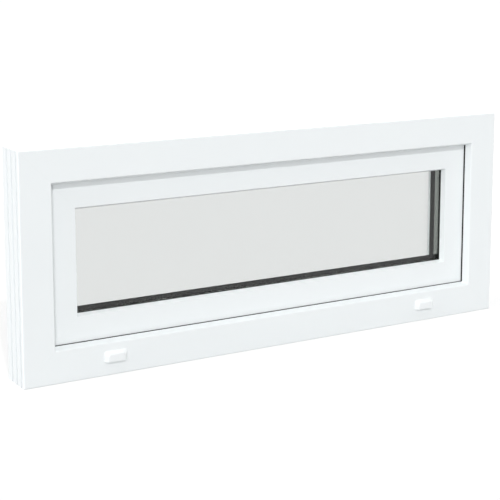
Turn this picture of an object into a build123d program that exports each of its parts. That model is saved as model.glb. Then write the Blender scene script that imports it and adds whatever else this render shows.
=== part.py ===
from build123d import *
import os

os.makedirs("parts", exist_ok=True)

# Inward-tilting basement window of welded hollow plastic profiles, in millimetres.
# X runs along the window, Y from the weather side to the room, Z up.
# The origin is the middle of the frame's underside, half way through its depth.

# Frame, over all
frame_width = 1000.0
frame_height = 400.0
frame_depth = 70.0

# Frame profile: heights run from the perimeter towards the glass, depths from the weather face inwards
frame_face = 57.0
frame_lip_rise = 5.0
frame_lip_depth = 14.5
rebate_height = 42.0
rebate_fall = 3.0
frame_edge_radius = 2.0

# Clip grooves that run round the perimeter
groove_count = 3
groove_first = 8.5
groove_pitch = 20.0
groove_width = 5.0
groove_depth = 5.0

# Hollow chambers of the profiles
outer_wall = 3.0
inner_web = 2.0
side_chamber = 7.0

# Sash profile
sash_face = 52.0
sash_lip_rise = 4.0
sash_lip_depth = 11.0
sash_body = 36.0
sash_air_gap = 12.0
flange_overlap = 8.0
flange_thickness = 14.5
flange_edge_radius = 3.0
hardware_groove_width = 16.0
hardware_groove_depth = 6.0
hardware_groove_start = 20.0
lip_tip_radius = 1.0
arris_radius = 0.8

# Seals: a foot in a groove and a body that bridges the gap
frame_seal_gap = 3.5
glass_seal_gap = 3.5
foot_width = 3.0
foot_depth = 3.0
foot_drop = 4.0
foot_fit = 0.15
seal_width = 7.5
seal_taper = 1.5
seal_nose = 1.0
seal_edge_radius = 0.5
outer_seal_stand = 0.2
inner_seal_stand = -1.0
glazing_seal_stand = 1.0
bead_seal_stand = 2.0

# Double glazing
pane_thickness = 4.0
glass_cavity = 16.0
glass_clearance = 5.0
spacer_inset = 6.0
spacer_height = 8.0
spacer_chamfer = 2.0

# Glazing bead on the room side
bead_height = 23.0
bead_top = 3.0
bead_room_height = 8.0
bead_setback = 2.0
bead_wall = 2.5
bead_edge_radius = 1.5
bead_foot_width = 3.0
bead_foot_depth = 4.5
bead_foot_start = 10.0
bead_groove_depth = 5.0
bead_fit = 0.2

# Drain caps on the weather face of the sill, with the slots behind them
cap_end_distance = 168.0
cap_width = 44.0
cap_height = 19.0
cap_base = 24.5
cap_projection = 6.0
cap_slope = 1.07
cap_corner_radius = 9.0
cap_wall = 1.6
cap_edge_chamfer = 0.6
slot_width = 28.0
slot_height = 5.0
slot_rise = 3.0
slot_shift = 60.0
tongue_depth = 4.0
tongue_fit = 0.4

# Handle on the sash head rail
rose_length = 68.0
rose_height = 30.0
rose_thickness = 11.0
rose_corner = 9.0
rose_edge_chamfer = 2.0
lever_neck = 32.0
lever_length = 112.0
lever_bend = 14.0
lever_thickness = 13.0
lever_height = 20.0
lever_edge_radius = 5.5
lever_back_chamfer = 2.0
lever_tip_chamfer = 2.0

# Two tilt hinges under the sash
hinge_end_distance = 160.0
hinge_length = 64.0
hinge_middle = 26.0
knuckle_gap = 0.4
knuckle_radius = 7.0
knuckle_drop = 8.0
pin_radius = 3.5
pin_fit = 0.2
leaf_thickness = 3.0
leaf_height = 24.0
leaf_edge = 4.0
leaf_corner = 4.0

# Levels that the pieces share
weather_y = -frame_depth / 2
half_width = frame_width / 2
half_height = frame_height / 2
frame_lip_tip = frame_face + frame_lip_rise
sash_front = frame_lip_depth + frame_seal_gap
flange_front = frame_depth + frame_seal_gap
sash_back = flange_front + flange_thickness
sash_edge = rebate_height + sash_air_gap
sash_arris = sash_edge + sash_face
sash_lip_tip = sash_arris + sash_lip_rise
sash_lip_back = sash_front + sash_lip_depth
glazing_floor = sash_edge + sash_body
flange_edge = rebate_height - flange_overlap
pane_front = sash_lip_back + glass_seal_gap
cavity_front = pane_front + pane_thickness
cavity_back = cavity_front + glass_cavity
pane_back = cavity_back + pane_thickness
pane_edge = glazing_floor + glass_clearance
bead_front = pane_back + glass_seal_gap
bead_back = sash_back - bead_setback
bead_tip = glazing_floor + bead_height

# Each side has a plane whose X runs in towards the glass and whose Y runs in depth
sides = {
    "sill": (Plane((0, weather_y, 0), x_dir=(0, 0, 1), z_dir=(-1, 0, 0)), frame_width),
    "head": (Plane((0, weather_y, frame_height), x_dir=(0, 0, -1), z_dir=(1, 0, 0)), frame_width),
    "left": (Plane((-half_width, weather_y, half_height), x_dir=(1, 0, 0), z_dir=(0, 0, 1)), frame_height),
    "right": (Plane((half_width, weather_y, half_height), x_dir=(-1, 0, 0), z_dir=(0, 0, -1)), frame_height),
}


def cut_box(height_range, depth_range):
    """Takes a rectangle out of the section being drawn."""
    with Locations((height_range[0], depth_range[0])):
        Rectangle(
            height_range[1] - height_range[0],
            depth_range[1] - depth_range[0],
            align=(Align.MIN, Align.MIN),
            mode=Mode.SUBTRACT,
        )


def cut_chambers(height_range, depth_range):
    """Takes five chambers out of a profile: a wide one for reinforcement between two narrow pairs."""
    step = side_chamber + inner_web
    wide_start = depth_range[0] + 2 * step
    wide_end = depth_range[1] - 2 * step
    for start in (depth_range[0], depth_range[0] + step, wide_end + inner_web, wide_end + inner_web + step):
        cut_box(height_range, (start, start + side_chamber))
    cut_box(height_range, (wide_start, wide_end))


def cut_seal_groove(tip, root, reach, inward=1):
    """Takes out the groove for a seal's foot, in the face at depth root of a lip that ends at height tip."""
    near = tip - inward * (foot_drop - foot_fit)
    far = tip - inward * (foot_drop + foot_width + foot_fit)
    bottom = root - foot_depth if reach > 0 else root + foot_depth
    cut_box((min(near, far), max(near, far)), (min(root, bottom), max(root, bottom)))


def seal_section(tip, root, reach, stand, inward=1):
    """Section of a seal that sits on the face at depth root and reaches to the next face."""
    bottom = root - foot_depth + foot_fit if reach > 0 else root + foot_depth - foot_fit
    with BuildSketch() as seal:
        with BuildLine():
            Polyline(
                (tip - inward * seal_width, root),
                (tip - inward * (seal_width - seal_taper), root + reach),
                (tip + inward * stand, root + reach),
                (tip - inward * seal_nose, root),
                close=True,
            )
        make_face()
        far_corners = seal.vertices().filter_by_position(Axis.Y, root + reach, root + reach).sort_by(Axis.X)
        fillet(far_corners[-1] if inward > 0 else far_corners[0], seal_edge_radius)
        with BuildLine():
            Polyline(
                (tip - inward * foot_drop, root),
                (tip - inward * foot_drop, bottom),
                (tip - inward * (foot_drop + foot_width), bottom),
                (tip - inward * (foot_drop + foot_width), root),
                close=True,
            )
        make_face()
    return seal.sketch


def mitred_length(side, section):
    """One length of a section along a side, with both ends cut at 45 degrees to the frame's corners."""
    plane, length = sides[side]
    with BuildPart() as bar:
        with BuildSketch(plane):
            add(section)
        extrude(amount=length / 2, both=True)
        for end in (-1, 1):
            corner = plane.origin + plane.z_dir * (end * length / 2)
            split(bisect_by=Plane(corner, z_dir=-plane.x_dir - plane.z_dir * end), keep=Keep.TOP)
    return bar


def write(piece, name):
    """Names a finished piece and writes it."""
    piece.part.label = name
    export_step(piece.part, f"parts/{name}.step")


# Frame section: weather face, bevelled lip, falling rebate floor, clip grooves and chambers
frame_lip_floor = rebate_height - rebate_fall
frame_chamber_base = groove_depth + outer_wall
frame_chamber_top = frame_lip_floor - outer_wall
with BuildSketch() as frame_section:
    with BuildLine():
        Polyline(
            (0, 0),
            (frame_face, 0),
            (frame_lip_tip, frame_lip_depth),
            (frame_lip_floor, frame_lip_depth),
            (rebate_height, frame_depth),
            (0, frame_depth),
            close=True,
        )
    make_face()
    fillet(frame_section.vertices().filter_by_position(Axis.Y, 0, 0), frame_edge_radius)
    fillet(frame_section.vertices().sort_by(Axis.X)[-1], lip_tip_radius)
    fillet(frame_section.vertices().filter_by_position(Axis.Y, frame_depth, frame_depth), arris_radius)
    for index in range(groove_count):
        groove_start = groove_first + index * groove_pitch
        cut_box((0, groove_depth), (groove_start, groove_start + groove_width))
    cut_seal_groove(frame_lip_tip, frame_lip_depth, frame_seal_gap)
    cut_chambers((frame_chamber_base, frame_chamber_top), (outer_wall, frame_depth - outer_wall))
    cut_box(
        (frame_chamber_top + inner_web, frame_lip_tip - foot_drop - foot_width - inner_web),
        (outer_wall, frame_lip_depth - outer_wall),
    )

# Sash section: recessed face, bevelled glazing lip, bead groove, hardware groove, room-side flange
sash_chamber_base = sash_edge + hardware_groove_depth + outer_wall
sash_chamber_top = glazing_floor - bead_groove_depth - outer_wall
bead_groove_start = bead_front + bead_foot_start
with BuildSketch() as sash_section:
    with BuildLine():
        Polyline(
            (sash_edge, sash_front),
            (sash_arris, sash_front),
            (sash_lip_tip, sash_lip_back),
            (glazing_floor, sash_lip_back),
            (glazing_floor, sash_back),
            (flange_edge, sash_back),
            (flange_edge, flange_front),
            (sash_edge, flange_front),
            close=True,
        )
    make_face()
    fillet(sash_section.vertices().filter_by_position(Axis.Y, sash_front, sash_front), arris_radius)
    fillet(sash_section.vertices().sort_by(Axis.X)[-1], lip_tip_radius)
    room_corners = sash_section.vertices().filter_by_position(Axis.Y, sash_back, sash_back).sort_by(Axis.X)
    fillet(room_corners[0], flange_edge_radius)
    hardware_start = sash_front + hardware_groove_start
    cut_box(
        (sash_edge, sash_edge + hardware_groove_depth),
        (hardware_start, hardware_start + hardware_groove_width),
    )
    cut_box(
        (glazing_floor - bead_groove_depth, glazing_floor),
        (bead_groove_start - bead_fit, bead_groove_start + bead_foot_width + bead_fit),
    )
    cut_seal_groove(sash_lip_tip, sash_lip_back, glass_seal_gap)
    cut_seal_groove(flange_edge, flange_front, -frame_seal_gap, inward=-1)
    cut_chambers((sash_chamber_base, sash_chamber_top), (sash_front + outer_wall, sash_back - outer_wall))
    cut_box(
        (sash_chamber_top + inner_web, sash_lip_tip - foot_drop - foot_width - inner_web),
        (sash_front + outer_wall, sash_lip_back - outer_wall),
    )
    cut_box(
        (flange_edge + outer_wall, sash_chamber_base - outer_wall),
        (flange_front + foot_depth + outer_wall, sash_back - outer_wall),
    )

# Bead section: upright glass side, sloping room side, one chamber and a foot that clips into the sash
bead_slope_start = bead_front + bead_top
bead_slope_fall = bead_height - bead_room_height
bead_slope = bead_slope_fall / (bead_back - bead_slope_start)
bead_slope_wall = bead_wall * (1 + bead_slope**2) ** 0.5
bead_chamber_front = bead_front + foot_depth + bead_wall
bead_chamber_back = bead_back - bead_wall
bead_chamber_tips = [
    bead_tip - bead_slope * (depth - bead_slope_start) - bead_slope_wall
    for depth in (bead_chamber_front, bead_chamber_back)
]
with BuildSketch() as bead_section:
    with BuildLine():
        Polyline(
            (glazing_floor, bead_front),
            (bead_tip, bead_front),
            (bead_tip, bead_slope_start),
            (glazing_floor + bead_room_height, bead_back),
            (glazing_floor, bead_back),
            close=True,
        )
    make_face()
    fillet(bead_section.vertices().filter_by_position(Axis.X, bead_tip, bead_tip), lip_tip_radius)
    room_edge = bead_section.vertices().filter_by_position(Axis.Y, bead_back, bead_back).sort_by(Axis.X)[-1]
    fillet(room_edge, bead_edge_radius)
    with BuildLine():
        Polyline(
            (glazing_floor + bead_wall, bead_chamber_front),
            (bead_chamber_tips[0], bead_chamber_front),
            (bead_chamber_tips[1], bead_chamber_back),
            (glazing_floor + bead_wall, bead_chamber_back),
            close=True,
        )
    make_face(mode=Mode.SUBTRACT)
    with Locations((glazing_floor, bead_groove_start)):
        Rectangle(bead_foot_depth, bead_foot_width, align=(Align.MAX, Align.MIN))
    cut_seal_groove(bead_tip, bead_front, -glass_seal_gap)

# Spacer bar section between the panes, with its back corners cut off
with BuildSketch() as spacer_section:
    with Locations((pane_edge + spacer_inset, cavity_front)):
        Rectangle(spacer_height, glass_cavity, align=(Align.MIN, Align.MIN))
    chamfer(spacer_section.vertices().group_by(Axis.X)[0], spacer_chamfer)

# Seal sections
outer_seal_section = seal_section(frame_lip_tip, frame_lip_depth, frame_seal_gap, outer_seal_stand)
inner_seal_section = seal_section(flange_edge, flange_front, -frame_seal_gap, inner_seal_stand, inward=-1)
glazing_seal_section = seal_section(sash_lip_tip, sash_lip_back, glass_seal_gap, glazing_seal_stand)
bead_seal_section = seal_section(bead_tip, bead_front, -glass_seal_gap, bead_seal_stand)

# Lengths that run round all four sides and meet at mitres
sash_names = {
    "sill": "sash_bottom_rail",
    "head": "sash_head_rail",
    "left": "sash_left_stile",
    "right": "sash_right_stile",
}
for side in sides:
    write(mitred_length(side, sash_section.sketch), sash_names[side])
    write(mitred_length(side, bead_section.sketch), f"bead_{side}")
    write(mitred_length(side, spacer_section.sketch), f"spacer_{side}")
    write(mitred_length(side, outer_seal_section), f"outer_seal_{side}")
    write(mitred_length(side, inner_seal_section), f"inner_seal_{side}")
    write(mitred_length(side, glazing_seal_section), f"glazing_seal_{side}")
    write(mitred_length(side, bead_seal_section), f"bead_seal_{side}")

write(mitred_length("head", frame_section.sketch), "frame_head")
write(mitred_length("left", frame_section.sketch), "frame_left_jamb")
write(mitred_length("right", frame_section.sketch), "frame_right_jamb")

# Sill: two slots drain the rebate into the front chambers, two more lead out behind the caps
cap_middles = (cap_end_distance - half_width, half_width - cap_end_distance)
slot_middle = cap_base + slot_rise + slot_height / 2
sill_face = Plane((0, weather_y, 0), x_dir=(1, 0, 0), z_dir=(0, -1, 0))
rebate_slot_middle = frame_lip_depth + slot_height / 2
with BuildPart() as frame_sill:
    add(mitred_length("sill", frame_section.sketch).part)
    with BuildSketch(sill_face):
        with Locations(*[(middle, slot_middle) for middle in cap_middles]):
            SlotOverall(slot_width, slot_height)
    extrude(amount=-(outer_wall + side_chamber + inner_web), mode=Mode.SUBTRACT)
    with BuildSketch(Plane.XY.offset(frame_chamber_top)):
        for middle in cap_middles:
            shift = slot_shift if middle < 0 else -slot_shift
            with Locations((middle + shift, weather_y + rebate_slot_middle)):
                SlotOverall(slot_width, slot_height)
    extrude(amount=rebate_height - frame_chamber_top, mode=Mode.SUBTRACT)
write(frame_sill, "frame_sill")

# Panes of the sealed unit
pane_width = frame_width - 2 * pane_edge
pane_height = frame_height - 2 * pane_edge
for name, front in (("outer_pane", pane_front), ("inner_pane", cavity_back)):
    with BuildPart() as pane:
        with BuildSketch(Plane((0, weather_y + front, half_height), x_dir=(1, 0, 0), z_dir=(0, -1, 0))):
            Rectangle(pane_width, pane_height)
        extrude(amount=-pane_thickness)
    write(pane, name)


def cap_hood(middle, trim):
    """Solid hood of a drain cap, drawn in by trim: its top and its ends slope in to a flat front."""
    reach = cap_projection - trim
    rise = cap_height - trim
    half = cap_width / 2 - trim
    with BuildPart() as hood:
        with BuildSketch(Plane((middle, weather_y, cap_base), x_dir=(0, -1, 0), z_dir=(-1, 0, 0))):
            with BuildLine():
                Polyline((0, 0), (reach, 0), (reach, rise - cap_slope * reach), (0, rise), close=True)
            make_face()
        extrude(amount=half, both=True)
        for end in (-1, 1):
            corner = (middle + end * half, weather_y, cap_base)
            split(bisect_by=Plane(corner, z_dir=(-end, cap_slope, 0)), keep=Keep.TOP)
        fillet(hood.edges().sort_by(Axis.Z)[-3:-1], cap_corner_radius - trim)
    return hood.part


# Drain caps: hollow hoods, open below, with a tongue in the slot
tongue_length = cap_projection - cap_wall + tongue_depth
for name, middle in zip(("drain_cap_left", "drain_cap_right"), cap_middles):
    tongue_plane = Plane((middle, weather_y + tongue_depth, slot_middle), x_dir=(1, 0, 0), z_dir=(0, -1, 0))
    with BuildPart() as cap:
        add(cap_hood(middle, 0))
        front_edges = cap.faces().sort_by(Axis.Y)[0].edges()
        chamfer(front_edges.sort_by(Axis.Z)[1:], cap_edge_chamfer)
        add(cap_hood(middle, cap_wall), mode=Mode.SUBTRACT)
        with BuildSketch(tongue_plane):
            Rectangle(slot_width - slot_height - 2 * tongue_fit, slot_height - 2 * tongue_fit)
        extrude(amount=tongue_length)
    write(cap, name)

# Handle: rose on the middle of the head rail, lever lying along the rail
room_y = weather_y + sash_back
handle_level = frame_height - (flange_edge + glazing_floor) / 2
rose_face_y = room_y + rose_thickness
with BuildPart() as rose:
    with BuildSketch(Plane((0, room_y, handle_level), x_dir=(-1, 0, 0), z_dir=(0, 1, 0))):
        RectangleRounded(rose_length, rose_height, rose_corner)
    extrude(amount=rose_thickness)
    chamfer(rose.faces().sort_by(Axis.Y)[-1].edges(), rose_edge_chamfer)
write(rose, "handle_rose")

# The lever's section is rounded on the room side and flat towards the sash
with BuildSketch() as lever_section:
    Rectangle(lever_thickness, lever_height)
    fillet(lever_section.vertices().group_by(Axis.X)[0], lever_edge_radius)
    chamfer(lever_section.vertices().group_by(Axis.X)[-1], lever_back_chamfer)

neck_end_y = rose_face_y + lever_neck - lever_bend
grip_y = rose_face_y + lever_neck
bend_axis = Axis((lever_bend, neck_end_y, handle_level), (0, 0, -1))
with BuildPart() as lever:
    with BuildSketch(Plane((0, rose_face_y, handle_level), x_dir=(1, 0, 0), z_dir=(0, 1, 0))):
        add(lever_section.sketch)
    extrude(amount=neck_end_y - rose_face_y)
    with BuildSketch(Plane((0, neck_end_y, handle_level), x_dir=(1, 0, 0), z_dir=(0, 1, 0))):
        add(lever_section.sketch)
    revolve(axis=bend_axis, revolution_arc=90)
    with BuildSketch(Plane((lever_bend, grip_y, handle_level), x_dir=(0, -1, 0), z_dir=(1, 0, 0))):
        add(lever_section.sketch)
    extrude(amount=lever_length - lever_bend)
    chamfer(lever.faces().sort_by(Axis.X)[-1].edges(), lever_tip_chamfer)
write(lever, "handle_lever")

# Hinges: the frame leaf carries the middle knuckle and the pin, the sash leaf the two outer knuckles
knuckle_height = flange_edge - knuckle_drop
knuckle_offset = leaf_thickness + knuckle_gap + knuckle_radius
knuckle_depth = frame_depth + knuckle_offset
outer_knuckle = (hinge_length - hinge_middle) / 2 - knuckle_gap
sash_leaf_top = flange_edge + leaf_edge + leaf_height
for name, direction in (("left", -1), ("right", 1)):
    hinge_middle_x = direction * (half_width - hinge_end_distance)
    hinge_plane = Plane((hinge_middle_x, weather_y, 0), x_dir=(0, 0, 1), z_dir=(-1, 0, 0))

    with BuildPart() as frame_leaf:
        with BuildSketch(hinge_plane):
            with Locations((knuckle_height + knuckle_radius, frame_depth)):
                Rectangle(leaf_height, leaf_thickness, align=(Align.MAX, Align.MIN))
        extrude(amount=hinge_length / 2, both=True)
        fillet(frame_leaf.edges().filter_by(Axis.Y).group_by(Axis.Z)[0], leaf_corner)
        with BuildSketch(hinge_plane):
            with Locations((knuckle_height, knuckle_depth)):
                Circle(knuckle_radius)
            with Locations((knuckle_height, frame_depth)):
                Rectangle(2 * pin_radius, knuckle_offset, align=(Align.CENTER, Align.MIN))
        extrude(amount=hinge_middle / 2, both=True)
        with BuildSketch(hinge_plane):
            with Locations((knuckle_height, knuckle_depth)):
                Circle(pin_radius)
        extrude(amount=hinge_length / 2, both=True)
    write(frame_leaf, f"hinge_{name}_frame_leaf")

    with BuildPart() as sash_leaf:
        with BuildSketch(hinge_plane):
            with Locations((sash_leaf_top, sash_back)):
                Rectangle(leaf_height, leaf_thickness, align=(Align.MAX, Align.MIN))
        extrude(amount=hinge_length / 2, both=True)
        fillet(sash_leaf.edges().filter_by(Axis.Y).group_by(Axis.Z)[-1], leaf_corner)
        for end in (-1, 1):
            start = end * (hinge_middle / 2 + knuckle_gap)
            with BuildSketch(hinge_plane.offset(start)):
                with Locations((knuckle_height, knuckle_depth)):
                    Circle(knuckle_radius)
                with BuildLine():
                    Polyline(
                        (knuckle_height - pin_radius, knuckle_depth),
                        (knuckle_height - pin_radius, sash_back + leaf_thickness),
                        (sash_leaf_top - leaf_height, sash_back + leaf_thickness),
                        (sash_leaf_top - leaf_height, sash_back),
                        (knuckle_height + pin_radius, sash_back),
                        (knuckle_height + pin_radius, knuckle_depth),
                        close=True,
                    )
                make_face()
                with Locations((knuckle_height, knuckle_depth)):
                    Circle(pin_radius + pin_fit, mode=Mode.SUBTRACT)
            extrude(amount=end * outer_knuckle)
    write(sash_leaf, f"hinge_{name}_sash_leaf")
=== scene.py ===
from math import cos, pi, sin
import bpy
import bmesh
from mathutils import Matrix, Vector


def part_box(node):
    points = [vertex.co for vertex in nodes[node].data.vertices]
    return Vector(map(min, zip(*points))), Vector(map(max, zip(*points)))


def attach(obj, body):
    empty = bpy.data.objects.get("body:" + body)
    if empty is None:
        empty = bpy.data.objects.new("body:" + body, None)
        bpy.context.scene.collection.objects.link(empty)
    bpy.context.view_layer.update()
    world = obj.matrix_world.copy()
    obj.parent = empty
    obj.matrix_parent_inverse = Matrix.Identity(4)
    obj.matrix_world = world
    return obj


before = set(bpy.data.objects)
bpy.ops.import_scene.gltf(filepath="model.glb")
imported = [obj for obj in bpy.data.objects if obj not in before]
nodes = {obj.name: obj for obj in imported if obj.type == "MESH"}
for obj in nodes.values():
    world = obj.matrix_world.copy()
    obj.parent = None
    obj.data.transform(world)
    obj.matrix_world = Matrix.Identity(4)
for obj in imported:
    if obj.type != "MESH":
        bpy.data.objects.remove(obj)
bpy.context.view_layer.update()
print("window loaded:", len(nodes), "nodes")

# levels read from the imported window, in metres
sillLow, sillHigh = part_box("frame_sill")
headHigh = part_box("frame_head")[1]
weatherY = sillLow.y
roomY = headHigh.y
halfWidth = sillHigh.x
windowHeight = headHigh.z


# nodes of a material or a group: make one, set what it needs, join it up
def addNode(tree, kind, spot, **values):
    node = tree.nodes.new(kind)
    node.location = spot
    for key, value in values.items():
        setattr(node, key, value)
    return node


def startMaterial(name):
    material = bpy.data.materials.new(name)
    material.use_nodes = True
    tree = material.node_tree
    tree.nodes.clear()
    output = addNode(tree, "ShaderNodeOutputMaterial", (900, 0))
    shader = addNode(tree, "ShaderNodeBsdfPrincipled", (500, 0))
    tree.links.new(shader.outputs["BSDF"], output.inputs["Surface"])
    return material, tree, shader


def newGroup(name, inputs, outputs):
    group = bpy.data.node_groups.new(name, "ShaderNodeTree")
    for label, kind, value in inputs:
        socket = group.interface.new_socket(label, in_out="INPUT", socket_type=kind)
        socket.default_value = value
    for label, kind in outputs:
        group.interface.new_socket(label, in_out="OUTPUT", socket_type=kind)
    start = addNode(group, "NodeGroupInput", (-800, 0))
    end = addNode(group, "NodeGroupOutput", (600, 0))
    return group, start, end


def placeGroup(tree, group, spot, **values):
    node = addNode(tree, "ShaderNodeGroup", spot, node_tree=group)
    for label, value in values.items():
        node.inputs[label].default_value = value
    return node


def toneMix(tree, factor, light, dark, spot):
    mix = addNode(tree, "ShaderNodeMix", spot, data_type="RGBA")
    mix.inputs["A"].default_value = (*light, 1)
    mix.inputs["B"].default_value = (*dark, 1)
    tree.links.new(factor, mix.inputs["Factor"])
    return mix.outputs["Result"]


noiseReach = {"low": 0.3, "high": 0.7}   # noise seldom leaves this


def spread(tree, value, low, high, spot):
    ranger = addNode(tree, "ShaderNodeMapRange", spot)
    ranger.inputs["From Min"].default_value = noiseReach["low"]
    ranger.inputs["From Max"].default_value = noiseReach["high"]
    ranger.inputs["To Min"].default_value = low
    ranger.inputs["To Max"].default_value = high
    tree.links.new(value, ranger.inputs["Value"])
    return ranger.outputs["Result"]


# roughness and bump of a finish, from the masks of its skin
def addGloss(tree, shader, finish, gloss, height):
    rough = spread(tree, gloss, finish["roughLow"], finish["roughHigh"], (-100, -50))
    tree.links.new(rough, shader.inputs["Roughness"])
    bump = addNode(tree, "ShaderNodeBump", (100, -300))
    bump.inputs["Strength"].default_value = finish["bump"]
    bump.inputs["Distance"].default_value = finish["bumpDepth"]
    tree.links.new(height, bump.inputs["Height"])
    tree.links.new(bump.outputs["Normal"], shader.inputs["Normal"])


# fine die lines that run along an extruded length, and a slow cloudiness of its colour
dieNoise = {"lineScale": 1.0, "lineDetail": 3.0, "cloudScale": 9.0, "cloudDetail": 2.0}


def makeDieLines():
    group, start, end = newGroup(
        "die lines",
        [
            ("Stretch", "NodeSocketVector", (1, 1, 1)),
            ("Cloud Scale", "NodeSocketFloat", dieNoise["cloudScale"]),
        ],
        [("Lines", "NodeSocketFloat"), ("Cloud", "NodeSocketFloat")],
    )
    place = addNode(group, "ShaderNodeTexCoord", (-800, -250))
    stretch = addNode(group, "ShaderNodeVectorMath", (-500, 100), operation="MULTIPLY")
    lines = addNode(group, "ShaderNodeTexNoise", (-200, 100))
    lines.inputs["Scale"].default_value = dieNoise["lineScale"]
    lines.inputs["Detail"].default_value = dieNoise["lineDetail"]
    cloud = addNode(group, "ShaderNodeTexNoise", (-200, -250))
    cloud.inputs["Detail"].default_value = dieNoise["cloudDetail"]
    group.links.new(place.outputs["Object"], stretch.inputs[0])
    group.links.new(start.outputs["Stretch"], stretch.inputs[1])
    group.links.new(stretch.outputs["Vector"], lines.inputs["Vector"])
    group.links.new(place.outputs["Object"], cloud.inputs["Vector"])
    group.links.new(start.outputs["Cloud Scale"], cloud.inputs["Scale"])
    group.links.new(lines.outputs["Fac"], end.inputs["Lines"])
    group.links.new(cloud.outputs["Fac"], end.inputs["Cloud"])
    return group


# even pebbled skin of moulded plastic, powder coat and rubber
pebbleNoise = {"grain": 1200.0, "grainDetail": 2.0, "patch": 30.0, "patchDetail": 4.0}


def makePebble():
    group, start, end = newGroup(
        "pebbled skin",
        [
            ("Grain", "NodeSocketFloat", pebbleNoise["grain"]),
            ("Patch", "NodeSocketFloat", pebbleNoise["patch"]),
        ],
        [("Grain", "NodeSocketFloat"), ("Patch", "NodeSocketFloat")],
    )
    place = addNode(group, "ShaderNodeTexCoord", (-800, -250))
    grain = addNode(group, "ShaderNodeTexNoise", (-200, 100))
    grain.inputs["Detail"].default_value = pebbleNoise["grainDetail"]
    patch = addNode(group, "ShaderNodeTexNoise", (-200, -250))
    patch.inputs["Detail"].default_value = pebbleNoise["patchDetail"]
    group.links.new(place.outputs["Object"], grain.inputs["Vector"])
    group.links.new(place.outputs["Object"], patch.inputs["Vector"])
    group.links.new(start.outputs["Grain"], grain.inputs["Scale"])
    group.links.new(start.outputs["Patch"], patch.inputs["Scale"])
    group.links.new(grain.outputs["Fac"], end.inputs["Grain"])
    group.links.new(patch.outputs["Fac"], end.inputs["Patch"])
    return group


dieLines = makeDieLines()
pebble = makePebble()
print("surface groups ready")


# how the die lines are drawn out on a length that runs along X or along Z
def runStretch(finish, run):
    along, fine = finish["along"], finish["fine"]
    return (along, fine, fine) if run == "X" else (fine, fine, along)


# white extruded plastic of frame, sash and beads
profileWhite = {
    "light": (0.835, 0.868, 0.878),
    "dark": (0.815, 0.848, 0.858),
    "roughLow": 0.30,
    "roughHigh": 0.40,
    "bump": 0.06,
    "bumpDepth": 0.00012,
    "bend": 1.5,
    "fine": 700.0,   # lines per metre across the length, about
    "along": 2.5,
}


def makeProfile(name, run):
    finish = profileWhite
    material, tree, shader = startMaterial(name)
    skin = placeGroup(tree, dieLines, (-500, 0), Stretch=runStretch(finish, run))
    cloud, lines = skin.outputs["Cloud"], skin.outputs["Lines"]
    colour = toneMix(tree, cloud, finish["light"], finish["dark"], (-100, 200))
    tree.links.new(colour, shader.inputs["Base Color"])
    addGloss(tree, shader, finish, lines, lines)
    shader.inputs["IOR"].default_value = finish["bend"]
    return material


profileLevel = makeProfile("profile_level", "X")
profileUpright = makeProfile("profile_upright", "Z")


# pebbled finishes: grain and patch are counts per metre, bumpDepth is in metres
def makePebbled(name, finish):
    material, tree, shader = startMaterial(name)
    skin = placeGroup(tree, pebble, (-500, 0), Grain=finish["grain"], Patch=finish["patch"])
    patch = skin.outputs["Patch"]
    colour = toneMix(tree, patch, finish["light"], finish["dark"], (-100, 200))
    tree.links.new(colour, shader.inputs["Base Color"])
    addGloss(tree, shader, finish, skin.outputs[finish["glossFrom"]], skin.outputs["Grain"])
    for label, value in finish["shader"].items():
        shader.inputs[label].default_value = value
    return material


# welded corners are scraped flush, a touch duller than the skin
weldWhite = {
    "light": (0.822, 0.855, 0.865),
    "dark": (0.80, 0.833, 0.843),
    "roughLow": 0.42,
    "roughHigh": 0.55,
    "glossFrom": "Grain",
    "grain": 2200.0,
    "patch": 90.0,
    "bump": 0.08,
    "bumpDepth": 0.0001,
    "shader": {},
}
weldScrape = makePebbled("weld_scrape", weldWhite)

# moulded white drain caps
capWhite = {
    "light": (0.84, 0.868, 0.876),
    "dark": (0.82, 0.848, 0.857),
    "roughLow": 0.36,
    "roughHigh": 0.46,
    "glossFrom": "Patch",
    "grain": 1500.0,
    "patch": 40.0,
    "bump": 0.05,
    "bumpDepth": 0.0002,
    "shader": {"IOR": 1.5},
}
capPlastic = makePebbled("cap_plastic", capWhite)

# powder coat of handle and hinges
coatWhite = {
    "light": (0.825, 0.85, 0.858),
    "dark": (0.80, 0.826, 0.834),
    "roughLow": 0.28,
    "roughHigh": 0.40,
    "glossFrom": "Patch",
    "grain": 900.0,
    "patch": 40.0,
    "bump": 0.10,
    "bumpDepth": 0.0002,
    "shader": {"IOR": 1.5},
}
handleCoat = makePebbled("handle_coat", coatWhite)
hingeCoat = makePebbled("hinge_coat", coatWhite)

# black seals: matt, slightly dusty rubber
sealBlack = {
    "light": (0.020, 0.021, 0.020),
    "dark": (0.011, 0.012, 0.011),
    "roughLow": 0.45,
    "roughHigh": 0.65,
    "glossFrom": "Patch",
    "grain": 1800.0,
    "patch": 60.0,
    "bump": 0.15,
    "bumpDepth": 0.0002,
    "shader": {"Specular IOR Level": 0.2},
}
sealRubber = makePebbled("seal_rubber", sealBlack)

# zinc-plated screws
zinc = {
    "light": (0.62, 0.62, 0.60),
    "dark": (0.48, 0.48, 0.46),
    "roughLow": 0.25,
    "roughHigh": 0.42,
    "glossFrom": "Patch",
    "grain": 2500.0,
    "patch": 350.0,
    "bump": 0.1,
    "bumpDepth": 0.0001,
    "shader": {"Metallic": 1.0},
}
screwZinc = makePebbled("screw_zinc", zinc)

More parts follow.
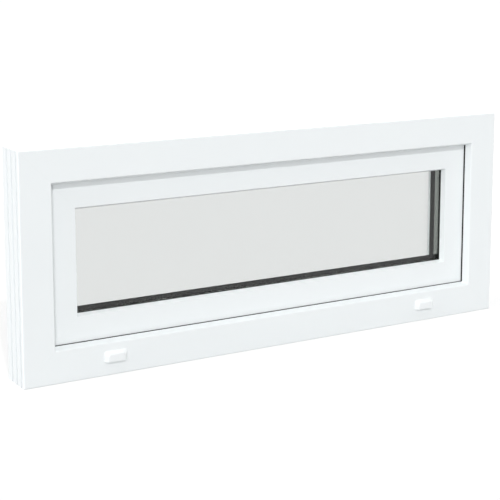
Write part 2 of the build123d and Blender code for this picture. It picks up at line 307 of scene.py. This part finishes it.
# spacer bars: dark, smoothly rolled metal with one row of breather holes, each hole coloured near
# black as painted shade inside the hollow bar
spacerGrey = {
    "light": (0.30, 0.32, 0.30),
    "dark": (0.25, 0.268, 0.25),
    # painted shade: the near-black colour put on each breather hole
    "holeShade": (0.02, 0.02, 0.02),
    "holePitch": 0.004,
    "holeRadius": 0.0005,
    "roughLow": 0.08,
    "roughHigh": 0.14,
    "bump": 0.1,
    "bumpDepth": 0.0001,
    "fine": 900.0,
    "along": 4.0,
}


def makeSpacer(name, run):
    finish = spacerGrey
    material, tree, shader = startMaterial(name)
    low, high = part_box("spacer_sill")
    skin = placeGroup(tree, dieLines, (-900, 0), Stretch=runStretch(finish, run))
    # a point is in a hole when it is near the row's middle and near a multiple of the pitch
    place = addNode(tree, "ShaderNodeTexCoord", (-1500, -400))
    split = addNode(tree, "ShaderNodeSeparateXYZ", (-1300, -400))
    wrap = addNode(tree, "ShaderNodeMath", (-1100, -350), operation="PINGPONG")
    wrap.inputs[1].default_value = finish["holePitch"] / 2
    across = addNode(tree, "ShaderNodeMath", (-1100, -550), operation="SUBTRACT")
    across.inputs[1].default_value = (low.y + high.y) / 2
    spot = addNode(tree, "ShaderNodeCombineXYZ", (-900, -450))
    reach = addNode(tree, "ShaderNodeVectorMath", (-700, -450), operation="LENGTH")
    holeShade = addNode(tree, "ShaderNodeMath", (-500, -450), operation="LESS_THAN")
    holeShade.inputs[1].default_value = finish["holeRadius"]
    tree.links.new(place.outputs["Object"], split.inputs["Vector"])
    tree.links.new(split.outputs[run], wrap.inputs[0])
    tree.links.new(split.outputs["Y"], across.inputs[0])
    tree.links.new(wrap.outputs["Value"], spot.inputs["X"])
    tree.links.new(across.outputs["Value"], spot.inputs["Y"])
    tree.links.new(spot.outputs["Vector"], reach.inputs[0])
    tree.links.new(reach.outputs["Value"], holeShade.inputs[0])
    cloud, lines = skin.outputs["Cloud"], skin.outputs["Lines"]
    tone = toneMix(tree, cloud, finish["light"], finish["dark"], (-400, 200))
    # inside the holes the metal's tone gives way to the painted shade colour
    colour = addNode(tree, "ShaderNodeMix", (-150, 150), data_type="RGBA")
    colour.inputs["B"].default_value = (*finish["holeShade"], 1)
    tree.links.new(holeShade.outputs["Value"], colour.inputs["Factor"])
    tree.links.new(tone, colour.inputs["A"])
    tree.links.new(colour.outputs["Result"], shader.inputs["Base Color"])
    addGloss(tree, shader, finish, lines, lines)
    shader.inputs["Metallic"].default_value = 1.0
    return material


spacerLevel = makeSpacer("spacer_level", "X")
spacerUpright = makeSpacer("spacer_upright", "Z")

# float glass with a faint green-grey body, and lamps let through
paneGlass = {
    "light": (0.868, 0.878, 0.874),
    "dark": (0.862, 0.872, 0.868),
    "lamp": (0.80, 0.82, 0.81),
    "patch": 5.0,
    "rough": 0.0,
    "bend": 1.38,
}


def makeGlass():
    finish = paneGlass
    material, tree, shader = startMaterial("pane_glass")
    skin = placeGroup(tree, pebble, (-500, 0), Patch=finish["patch"])
    patch = skin.outputs["Patch"]
    colour = toneMix(tree, patch, finish["light"], finish["dark"], (-100, 200))
    tree.links.new(colour, shader.inputs["Base Color"])
    shader.inputs["Roughness"].default_value = finish["rough"]
    shader.inputs["IOR"].default_value = finish["bend"]
    shader.inputs["Transmission Weight"].default_value = 1.0
    through = addNode(tree, "ShaderNodeBsdfTransparent", (500, -400))
    through.inputs["Color"].default_value = (*finish["lamp"], 1)
    rays = addNode(tree, "ShaderNodeLightPath", (500, 400))
    pick = addNode(tree, "ShaderNodeMixShader", (750, 0))
    output = next(n for n in tree.nodes if n.type == "OUTPUT_MATERIAL")
    tree.links.new(rays.outputs["Is Shadow Ray"], pick.inputs["Fac"])
    tree.links.new(shader.outputs["BSDF"], pick.inputs[1])
    tree.links.new(through.outputs["BSDF"], pick.inputs[2])
    tree.links.new(pick.outputs["Shader"], output.inputs["Surface"])
    return material


glassClear = makeGlass()


def dress(material, *names):
    for name in names:
        mesh = nodes[name].data
        mesh.materials.clear()
        mesh.materials.append(material)


dress(profileLevel, "frame_sill", "frame_head", "bead_sill", "bead_head")
dress(profileLevel, "sash_bottom_rail", "sash_head_rail")
dress(profileUpright, "frame_left_jamb", "frame_right_jamb", "bead_left", "bead_right")
dress(profileUpright, "sash_left_stile", "sash_right_stile")
for sideName in ("sill", "head", "left", "right"):
    for kind in ("outer", "inner", "glazing", "bead"):
        dress(sealRubber, kind + "_seal_" + sideName)
dress(spacerLevel, "spacer_sill", "spacer_head")
dress(spacerUpright, "spacer_left", "spacer_right")
dress(glassClear, "outer_pane", "inner_pane")
dress(capPlastic, "drain_cap_left", "drain_cap_right")
dress(handleCoat, "handle_rose", "handle_lever")
for hand in ("left", "right"):
    dress(hingeCoat, "hinge_" + hand + "_frame_leaf", "hinge_" + hand + "_sash_leaf")
print("materials on all nodes")


# the fine pieces: rings of points, walls between them, and a place on the window
def joinRings(bm, rings):
    count = len(rings[0])
    for a, b in zip(rings, rings[1:]):
        for i in range(count):
            j = (i + 1) % count
            bm.faces.new((a[i], a[j], b[j], b[i]))


def placePiece(bm, name, material):
    bmesh.ops.recalc_face_normals(bm, faces=bm.faces)
    mesh = bpy.data.meshes.new(name)
    bm.to_mesh(mesh)
    bm.free()
    mesh.materials.append(material)
    piece = bpy.data.objects.new(name, mesh)
    bpy.context.scene.collection.objects.link(piece)
    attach(piece, "root")


# weld seams over the mitres: each point is (in from the frame's edge, back from the weather face)
weld = {
    "halfWidth": 0.0011,
    "rise": 0.00010,
    "shoulder": 0.7,   # of the rise, halfway to the seam's edge
    "sink": 0.00025,
    "root": 3,   # times the sink, under the middle
    "frameWeather": [(0.0024, 0.0), (0.0555, 0.0), (0.0572, 0.0008), (0.0612, 0.0128)],
    "sashWeather": [(0.0640, 0.018), (0.1055, 0.018), (0.1063, 0.0186), (0.1092, 0.0270)],
    "frameRoom": [(0.0012, 0.070), (0.0400, 0.070)],
    "sashRoom": [
        (0.0345, 0.0765),
        (0.0345, 0.0852),
        (0.0352, 0.0870),
        (0.0372, 0.0880),
        (0.0896, 0.0880),
    ],
}


def cornerPoint(side, level, inX, inZ, depth):
    z = inZ if level < 0 else windowHeight - inZ
    return Vector((side * (halfWidth - inX), weatherY + depth, z))


# which way is out of the plastic at each point of a path
def pathNormals(path, turn):
    steps = [(b[0] - a[0], b[1] - a[1]) for a, b in zip(path, path[1:])]
    sides = [Vector((-s[1], s[0])).normalized() * turn for s in steps]
    before = sides[:1] + sides
    after = sides + sides[-1:]
    return [(a + b).normalized() for a, b in zip(before, after)]


def makeWeld(name, path, turn):
    bm = bmesh.new()
    half, rise, sink = weld["halfWidth"], weld["rise"], weld["sink"]
    shoulder = weld["shoulder"] * rise
    # across the seam: (along the level length, along the upright one, out of the plastic)
    section = [
        (half, 0, -sink),
        (half / 2, 0, shoulder),
        (0, 0, rise),
        (0, half / 2, shoulder),
        (0, half, -sink),
        (0, 0, -weld["root"] * sink),
    ]
    normals = pathNormals(path, turn)
    for side, level in ((-1, -1), (1, -1), (1, 1), (-1, 1)):
        rings = []
        for (inward, depth), normal in zip(path, normals):
            ring = []
            for alongX, alongZ, lift in section:
                inX = inward + alongX + normal.x * lift
                inZ = inward + alongZ + normal.x * lift
                spot = cornerPoint(side, level, inX, inZ, depth + normal.y * lift)
                ring.append(bm.verts.new(spot))
            rings.append(ring)
        joinRings(bm, rings)
        bm.faces.new(rings[0])
        bm.faces.new(rings[-1])
    placePiece(bm, name, weldScrape)


makeWeld("frame_welds_weather", weld["frameWeather"], -1)
makeWeld("sash_welds_weather", weld["sashWeather"], -1)
makeWeld("frame_welds_room", weld["frameRoom"], 1)
makeWeld("sash_welds_room", weld["sashRoom"], -1)
print("weld seams laid")

# cross-recess screws in the hinge leaves
screw = {
    "radius": 0.0034,
    "rim": 0.0002,
    "shoulder": 0.9,   # of the radius, halfway from rim to crown
    "flat": 0.7,   # of the radius, at the crown
    "crown": 0.0006,
    "armLength": 0.0018,
    "armWidth": 0.0005,
    "recess": 0.0005,
    "sink": 0.0004,
    "steps": 32,
    "spread": 0.021,
    "leaf": 0.003,   # thickness of a hinge leaf
    "frameLeafHeight": 0.0135,   # above the underside of the frame
    "sashLeafHeight": 0.0530,
    "turns": {"left": (0.3, 1.0, 0.7, 0.1, 1.3), "right": (0.9, 0.2, 1.2, 0.5, 0.8)},
}


def loopEdges(bm, ring):
    return [bm.edges.get((a, b)) for a, b in zip(ring, ring[1:] + ring[:1])]


def addScrew(bm, middle, turn):
    radius, rim, crown = screw["radius"], screw["rim"], screw["crown"]
    long, thin = screw["armLength"], screw["armWidth"]

    def circle(size, lift):
        found = []
        for i in range(screw["steps"]):
            angle = 2 * pi * i / screw["steps"]
            spot = Vector((size * cos(angle), lift, size * sin(angle)))
            found.append(bm.verts.new(middle + spot))
        return found

    def cross(lift):
        found = []
        arm = [(long, -thin), (long, thin), (thin, thin)]
        for quarter in range(4):
            for u, v in arm:
                across = u * cos(turn) - v * sin(turn)
                up = u * sin(turn) + v * cos(turn)
                found.append(bm.verts.new(middle + Vector((across, lift, up))))
            arm = [(-v, u) for u, v in arm]
        return found

    rings = [
        circle(radius, -screw["sink"]),
        circle(radius, rim),
        circle(radius * screw["shoulder"], (rim + crown) / 2),
        circle(radius * screw["flat"], crown),
    ]
    joinRings(bm, rings)
    bm.faces.new(rings[0])
    top = cross(crown)
    floor = cross(crown - screw["recess"])
    joinRings(bm, [top, floor])
    bm.faces.new(floor)
    edges = loopEdges(bm, rings[-1]) + loopEdges(bm, top)
    bmesh.ops.triangle_fill(bm, use_beauty=True, edges=edges)


def makeHingeScrews(hand):
    bm = bmesh.new()
    low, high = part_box("hinge_" + hand + "_frame_leaf")
    middleX = (low.x + high.x) / 2
    frameFaceY = roomY + screw["leaf"]
    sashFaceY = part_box("sash_bottom_rail")[1].y + screw["leaf"]
    spots = [(side, frameFaceY, screw["frameLeafHeight"]) for side in (-1, 1)]
    spots += [(side, sashFaceY, screw["sashLeafHeight"]) for side in (-1, 0, 1)]
    for (side, y, z), turn in zip(spots, screw["turns"][hand]):
        addScrew(bm, Vector((middleX + side * screw["spread"], y, z)), turn)
    placePiece(bm, "hinge_screws_" + hand, screwZinc)


makeHingeScrews("left")
makeHingeScrews("right")
print("hinge screws set")

# collar where the lever's neck turns in the rose
collar = {
    "width": 0.0170,
    "height": 0.0240,
    "corner": 0.0075,
    "steps": 8,
    # (out from the rose, drawn in)
    "rings": [
        (-0.0005, 0.0),
        (0.0030, 0.0),
        (0.0040, -0.0003),
        (0.0046, -0.0009),
        (0.0048, -0.0017),
    ],
}


def roundedLoop(width, height, corner, steps):
    points = []
    for i, (sx, sz) in enumerate(((1, 1), (-1, 1), (-1, -1), (1, -1))):
        middleX = sx * (width / 2 - corner)
        middleZ = sz * (height / 2 - corner)
        for k in range(steps + 1):
            angle = pi / 2 * (i + k / steps)
            points.append((middleX + corner * cos(angle), middleZ + corner * sin(angle)))
    return points


def makeCollar():
    bm = bmesh.new()
    low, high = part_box("handle_rose")
    centre = Vector(((low.x + high.x) / 2, high.y, (low.z + high.z) / 2))
    rings = []
    for out, grow in collar["rings"]:
        width = collar["width"] + 2 * grow
        height = collar["height"] + 2 * grow
        loop = roundedLoop(width, height, collar["corner"] + grow, collar["steps"])
        rings.append([bm.verts.new(centre + Vector((u, out, v))) for u, v in loop])
    joinRings(bm, rings)
    bm.faces.new(rings[0])
    bm.faces.new(rings[-1])
    placePiece(bm, "handle_collar", handleCoat)


makeCollar()
print("handle collar fitted")

# pale floor that keeps the shadow and shows white in glass and metal
floorValues = {"size": 40.0, "albedo": 0.50, "lift": 0.50}


def makeFloor():
    bm = bmesh.new()
    bmesh.ops.create_grid(bm, x_segments=1, y_segments=1, size=floorValues["size"] / 2)
    mesh = bpy.data.meshes.new("floor")
    bm.to_mesh(mesh)
    bm.free()
    floor = bpy.data.objects.new("floor", mesh)
    bpy.context.scene.collection.objects.link(floor)
    material = bpy.data.materials.new("floor_white")
    material.use_nodes = True
    tree = material.node_tree
    tree.nodes.clear()
    output = addNode(tree, "ShaderNodeOutputMaterial", (800, 0))
    plain = addNode(tree, "ShaderNodeBsdfDiffuse", (0, 100))
    plain.inputs["Color"].default_value = (floorValues["albedo"],) * 3 + (1,)
    lift = addNode(tree, "ShaderNodeEmission", (0, -50))
    white = addNode(tree, "ShaderNodeEmission", (200, -250))
    rays = addNode(tree, "ShaderNodeLightPath", (-400, 0))
    liftPower = addNode(tree, "ShaderNodeMath", (-200, -50), operation="MULTIPLY")
    liftPower.inputs[1].default_value = floorValues["lift"]
    seen = addNode(tree, "ShaderNodeMath", (-200, -250), operation="MAXIMUM")
    both = addNode(tree, "ShaderNodeAddShader", (250, 50))
    pick = addNode(tree, "ShaderNodeMixShader", (550, 0))
    tree.links.new(rays.outputs["Is Camera Ray"], liftPower.inputs[0])
    tree.links.new(liftPower.outputs["Value"], lift.inputs["Strength"])
    tree.links.new(plain.outputs["BSDF"], both.inputs[0])
    tree.links.new(lift.outputs["Emission"], both.inputs[1])
    tree.links.new(rays.outputs["Is Glossy Ray"], seen.inputs[0])
    tree.links.new(rays.outputs["Is Transmission Ray"], seen.inputs[1])
    tree.links.new(seen.outputs["Value"], pick.inputs["Fac"])
    tree.links.new(both.outputs["Shader"], pick.inputs[1])
    tree.links.new(white.outputs["Emission"], pick.inputs[2])
    tree.links.new(pick.outputs["Shader"], output.inputs["Surface"])
    mesh.materials.append(material)


makeFloor()

# even surrounding light behind a plain white background
surround = {"level": 0.45}


def makeSurround():
    world = bpy.data.worlds.new("surround")
    bpy.context.scene.world = world
    world.use_nodes = True
    tree = world.node_tree
    tree.nodes.clear()
    output = addNode(tree, "ShaderNodeOutputWorld", (700, 0))
    soft = addNode(tree, "ShaderNodeBackground", (100, 50))
    soft.inputs["Color"].default_value = (1, 1, 1, 1)
    soft.inputs["Strength"].default_value = surround["level"]
    white = addNode(tree, "ShaderNodeBackground", (100, -150))
    white.inputs["Color"].default_value = (1, 1, 1, 1)
    rays = addNode(tree, "ShaderNodeLightPath", (-300, -300))
    clear = addNode(tree, "ShaderNodeMath", (-100, -300), operation="MAXIMUM")
    shown = addNode(tree, "ShaderNodeMath", (100, -350), operation="MAXIMUM")
    pick = addNode(tree, "ShaderNodeMixShader", (400, 0))
    tree.links.new(rays.outputs["Is Glossy Ray"], clear.inputs[0])
    tree.links.new(rays.outputs["Is Transmission Ray"], clear.inputs[1])
    tree.links.new(rays.outputs["Is Camera Ray"], shown.inputs[0])
    tree.links.new(clear.outputs["Value"], shown.inputs[1])
    tree.links.new(shown.outputs["Value"], pick.inputs["Fac"])
    tree.links.new(soft.outputs["Background"], pick.inputs[1])
    tree.links.new(white.outputs["Background"], pick.inputs[2])
    tree.links.new(pick.outputs["Shader"], output.inputs["Surface"])


makeSurround()

# lamps: the way the light runs, its strength and its spread in radians
lamps = {
    # casts the head's shadow on the sash
    "key": {"runs": (0.3, 1, -0.8), "strength": 1.1, "spread": 0.03},
    "front_fill": {"runs": (0.55, 1, -0.1), "strength": 0.84, "spread": 0.2},
    "left_fill": {"runs": (1, -0.05, -0.3), "strength": 1.3, "spread": 0.6},
    "right_fill": {"runs": (-1, 0, -0.2), "strength": 0.65, "spread": 0.4},
    "top_fill": {"runs": (0, 0, -1), "strength": 0.63, "spread": 1.0},
    "back_fill": {"runs": (-0.5, -1, -0.12), "strength": 1.15, "spread": 0.6},
}
lampSpot = (0, -2, 2)   # a sun lights alike from anywhere


def makeLamps():
    for name, values in lamps.items():
        light = bpy.data.lights.new(name, "SUN")
        light.energy = values["strength"]
        light.angle = values["spread"]
        lamp = bpy.data.objects.new(name, light)
        bpy.context.scene.collection.objects.link(lamp)
        lamp.location = lampSpot
        lamp.rotation_euler = Vector(values["runs"]).to_track_quat("-Z", "Y").to_euler()


makeLamps()
print("stage lit")

# camera at the photo's angle: metres, radians, and lens and sensor in millimetres
view = {
    "place": (-1.2800, -2.0813, 0.7294),
    "yaw": 0.5360,
    "pitch": -0.1614,
    "lens": 97.64,
    "sensor": 36,
    "drop": -0.17,   # shift of the lens, in frame widths
    "farthest": 200,
}


def makeCamera():
    data = bpy.data.cameras.new("camera")
    data.lens = view["lens"]
    data.sensor_width = view["sensor"]
    data.shift_y = view["drop"]
    data.clip_end = view["farthest"]
    camera = bpy.data.objects.new("camera", data)
    bpy.context.scene.collection.objects.link(camera)
    camera.location = view["place"]
    camera.rotation_euler = (pi / 2 + view["pitch"], 0, -view["yaw"])
    bpy.context.scene.camera = camera


makeCamera()
bpy.context.scene.view_settings.view_transform = "Standard"

print("window dressed")
